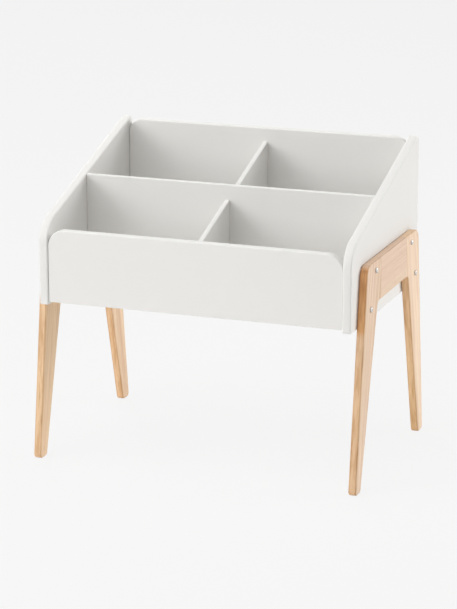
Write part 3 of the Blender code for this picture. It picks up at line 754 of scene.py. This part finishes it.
for sideIndex, sideName in enumerate(("left", "right")):
    railLow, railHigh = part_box(sideName + "_rail")
    panelLow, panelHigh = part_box(sideName + "_side_panel")
    railTone = railTones[sideName]
    crownWarmth = railTone["warmth"]
    for endIndex, endName in enumerate(("front", "rear")):
        nodeName = f"{endName}_{sideName}_leg"
        low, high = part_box(nodeName)
        outer = -1 if endName == "front" else 1
        joint = high[1] if endName == "front" else low[1]
        panelEnd = panelLow[1] if endName == "front" else panelHigh[1]
        toe = panelEnd + outer * legShape["toeOverhang"]
        knee = toe - outer * (legShape["footLength"] + legShape["heelLean"] * railLow[2])
        shoulder = toe - outer * legShape["toeLean"] * railHigh[2]
        corners = [
            (toe, 0.0, legShape["footRadius"], 1),
            (toe - outer * legShape["footLength"], 0.0, legShape["footRadius"], 1),
            (knee, railLow[2], legShape["kneeRadius"], 1),
            (joint, railLow[2], 0, legShape["jointEase"]),
            (joint, railHigh[2], 0, 1),
            (shoulder, railHigh[2], legShape["shoulderRadius"], 1),
        ]
        if endName == "rear":
            # mirrored, so its corners run the other way round
            order = [0, 5, 4, 3, 2, 1]
            eases = [1, 1, legShape["jointEase"], 1, 1, 1]
            corners = [corners[i][:3] + (ease,) for i, ease in zip(order, eases)]
        lean = -outer * (legShape["toeLean"] + legShape["heelLean"]) / 2
        along = np.array([lean, 1.0]) / math.hypot(lean, 1.0)
        perSide = np.array(legShape["grainPerSide"])
        perEnd = np.array(legShape["grainPerEnd"])
        offset = sideIndex * perSide + endIndex * perEnd
        tone = legTones[f"{endName}_{sideName}"]
        pieceName = f"{endName}{sideName.capitalize()}Leg"
        woodPiece(pieceName, nodeName, corners, along, offset, tone, crownWarmth)
    corners = [
        (railLow[1], railLow[2], 0, 1),
        (railHigh[1], railLow[2], 0, legShape["jointEase"]),
        (railHigh[1], railHigh[2], 0, 1),
        (railLow[1], railHigh[2], 0, legShape["jointEase"]),
    ]
    along = np.array([1.0, 0.0])
    offset = np.array(legShape["railGrainStart"]) + sideIndex * np.array(legShape["railGrainPerSide"])
    woodPiece(sideName + "Rail", sideName + "_rail", corners, along, offset, railTone, crownWarmth)
print("book bin: leg frames made")


# Leg bolts

boltShape = {
    "sides": 72,
    "domeSteps": 8,
    "domeStart": 0.12,  # radians from the crown
    "sharpAngle": 35.0,
    "socketTurn": 0.9,  # radians from one bolt's socket to the next one's
    "headRadius": 0.00475,
    "rim": 0.0008,
    "socketAcross": 0.0030,
    "socketDepth": 0.0014,
    "shankRadius": 0.0025,
    "lift": 0.0003,
    "headHeight": 0.00275,
    "socketLip": 0.0003,
    "underChamfer": 0.0002,
}


def boltRings(shape, shankLength, socketTurn):
    # A turned head: each ring's radius goes from a hexagon, half its flats over the cosine of the angle
    # from the nearest flat's middle, to a circle. The dome is a quarter of an ellipse from the crown down
    # to the rim, and under the rim comes the shank.
    angles = np.linspace(0, 2 * math.pi, shape["sides"], endpoint=False)
    flat = np.mod(angles, math.pi / 3) - math.pi / 6
    hexagon = shape["socketAcross"] / 2 / np.cos(flat)
    crown = shape["socketAcross"] / 2 / math.cos(math.pi / 6) + shape["socketLip"]
    top = shape["lift"] + shape["headHeight"]
    rimTop = shape["lift"] + shape["rim"]
    sweep = np.linspace(shape["domeStart"], math.pi / 2, shape["domeSteps"] + 1)
    domeRadius = crown + (shape["headRadius"] - crown) * np.sin(sweep)
    domeHeight = rimTop + (top - rimTop) * np.cos(sweep)
    hexHeights = np.array([top - shape["socketDepth"], top - shape["socketLip"]])
    underRim = shape["headRadius"] - shape["underChamfer"]
    underRadius = [shape["headRadius"], underRim, shape["shankRadius"], shape["shankRadius"]]
    underHeight = [shape["lift"] + shape["underChamfer"], shape["lift"], shape["lift"], -shankLength]
    roundRadius = np.concatenate([[crown], domeRadius, underRadius])
    roundHeight = np.concatenate([[top], domeHeight, underHeight])
    radius = np.concatenate([
        np.repeat(hexagon[None], len(hexHeights), axis=0),
        np.repeat(roundRadius[:, None], len(angles), axis=1),
    ])
    height = np.concatenate([hexHeights, roundHeight])[:, None] * np.ones(len(angles))
    turned = angles + socketTurn
    return np.stack([radius * np.cos(turned), radius * np.sin(turned), height], axis=-1)


boltIndex = 0
for endName in ("front", "rear"):
    for sideName, side in (("left", -1), ("right", 1)):
        for level in ("upper", "lower"):
            nodeName = f"leg_bolt_{endName}_{sideName}_{level}"
            low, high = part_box(nodeName)
            middleY, middleZ = (low[1] + high[1]) / 2, (low[2] + high[2]) / 2
            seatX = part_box(f"{endName}_{sideName}_leg")[1 if side > 0 else 0][0]
            shankLength = abs((low[0] if side > 0 else high[0]) - seatX)
            rings = boltRings(boltShape, shankLength, boltShape["socketTurn"] * boltIndex)
            # height runs outwards: a half turn about the upright axis keeps the left bolts right side out
            placed = np.stack([
                seatX + side * rings[..., 2],
                middleY + side * rings[..., 0],
                middleZ + rings[..., 1],
            ], axis=-1)
            name = f"bolt{endName.capitalize()}{sideName.capitalize()}{level.capitalize()}"
            mesh = meshFromRings(name, placed, boltShape["sharpAngle"])
            addPiece(name, mesh, boltSteel, "steel", nodeName)
            boltIndex += 1
print("book bin: bolts made")


# Floor, light and camera

studio = {
    "floorReach": 20.0,
    "floorDrop": 0.0003,
    "floorColour": (0.94, 0.94, 0.94),
    "paper": (0.926, 0.926, 0.926),
    "paperShare": 0.92,
    "ambient": 0.34,
    "ambientColour": (1.0, 0.995, 0.985),
    "lampAim": (0.0, 0.0, 0.35),
    "lamps": {
        "key": {"place": (-3.95, -5.16, 1.6), "size": 3.2, "power": 30.3, "spread": 75.0},
        "side": {"place": (5.6, 2.6, 1.9), "size": 3.0, "power": 36.5, "spread": 75.0},
        "top": {"place": (-0.75, -0.7, 3.5), "size": 3.0, "power": 67.0, "spread": 180.0},
        "rear": {"place": (-5.4, 6.6, 2.6), "size": 3.0, "power": 31.0, "spread": 75.0},
    },
}


def paperRays(tree):
    # 1 for rays that should see the plain backdrop: from the camera, and by reflection or through glass.
    path = addNode(tree, "ShaderNodeLightPath")
    seen = mathNode(tree, "MAXIMUM", path.outputs["Is Camera Ray"], path.outputs["Is Glossy Ray"])
    return mathNode(tree, "MAXIMUM", seen, path.outputs["Is Transmission Ray"])


def makeFloor(look):
    half = look["floorReach"]
    mesh = bpy.data.meshes.new("studioFloor")
    corners = np.array([(-half, -half, 0), (half, -half, 0), (half, half, 0), (-half, half, 0)])
    mesh.from_pydata(corners - np.array([0, 0, look["floorDrop"]]), [], [(0, 1, 2, 3)])
    floor = bpy.data.objects.new("studioFloor", mesh)
    bpy.context.scene.collection.objects.link(floor)
    material = bpy.data.materials.new("studioFloor")
    material.use_nodes = True
    tree = material.node_tree
    tree.nodes.remove(tree.nodes["Principled BSDF"])
    matt = addNode(tree, "ShaderNodeBsdfDiffuse")
    matt.inputs["Color"].default_value = (*look["floorColour"], 1.0)
    paper = addNode(tree, "ShaderNodeEmission")
    paper.inputs["Color"].default_value = (*look["paper"], 1.0)
    mixed = addNode(tree, "ShaderNodeMixShader")
    tree.links.new(mathNode(tree, "MULTIPLY", paperRays(tree), look["paperShare"]), mixed.inputs["Fac"])
    tree.links.new(matt.outputs["BSDF"], mixed.inputs[1])
    tree.links.new(paper.outputs["Emission"], mixed.inputs[2])
    tree.links.new(mixed.outputs["Shader"], tree.nodes["Material Output"].inputs["Surface"])
    mesh.materials.append(material)


def makeWorld(look):
    world = bpy.data.worlds.new("studio")
    world.use_nodes = True
    tree = world.node_tree
    plain = tree.nodes["Background"]
    plain.inputs["Color"].default_value = (*look["ambientColour"], 1.0)
    plain.inputs["Strength"].default_value = look["ambient"]
    paper = addNode(tree, "ShaderNodeBackground")
    paper.inputs["Color"].default_value = (*look["paper"], 1.0)
    mixed = addNode(tree, "ShaderNodeMixShader")
    tree.links.new(paperRays(tree), mixed.inputs["Fac"])
    tree.links.new(plain.outputs["Background"], mixed.inputs[1])
    tree.links.new(paper.outputs["Background"], mixed.inputs[2])
    tree.links.new(mixed.outputs["Shader"], tree.nodes["World Output"].inputs["Surface"])
    bpy.context.scene.world = world


def aimAt(item, target):
    offset = np.array(target) - np.array(item.location)
    flat = math.hypot(offset[0], offset[1])
    item.rotation_euler = (math.pi / 2 + math.atan2(offset[2], flat), 0, math.atan2(-offset[0], offset[1]))


def makeLamps(look):
    for name, lamp in look["lamps"].items():
        data = bpy.data.lights.new(name, "AREA")
        data.size = lamp["size"]
        data.energy = lamp["power"]
        data.spread = math.radians(lamp["spread"])
        item = bpy.data.objects.new(name, data)
        item.location = lamp["place"]
        bpy.context.scene.collection.objects.link(item)
        aimAt(item, look["lampAim"])


cameraSet = {
    "place": (1.4922, -4.0684, 1.4302),
    "turn": (74.906, 0.0, 20.219),
    "lens": 147.45,
    "sensor": 36.0,
    "clipEnd": 60.0,
}


def makeCamera(look):
    data = bpy.data.cameras.new("camera")
    data.lens = look["lens"]
    data.sensor_width = look["sensor"]
    data.clip_end = look["clipEnd"]
    camera = bpy.data.objects.new("camera", data)
    camera.location = look["place"]
    camera.rotation_euler = [math.radians(angle) for angle in look["turn"]]
    bpy.context.scene.collection.objects.link(camera)
    bpy.context.scene.camera = camera


makeFloor(studio)
makeWorld(studio)
makeLamps(studio)
makeCamera(cameraSet)
bpy.context.scene.view_settings.view_transform = "Standard"
print("book bin: studio made")
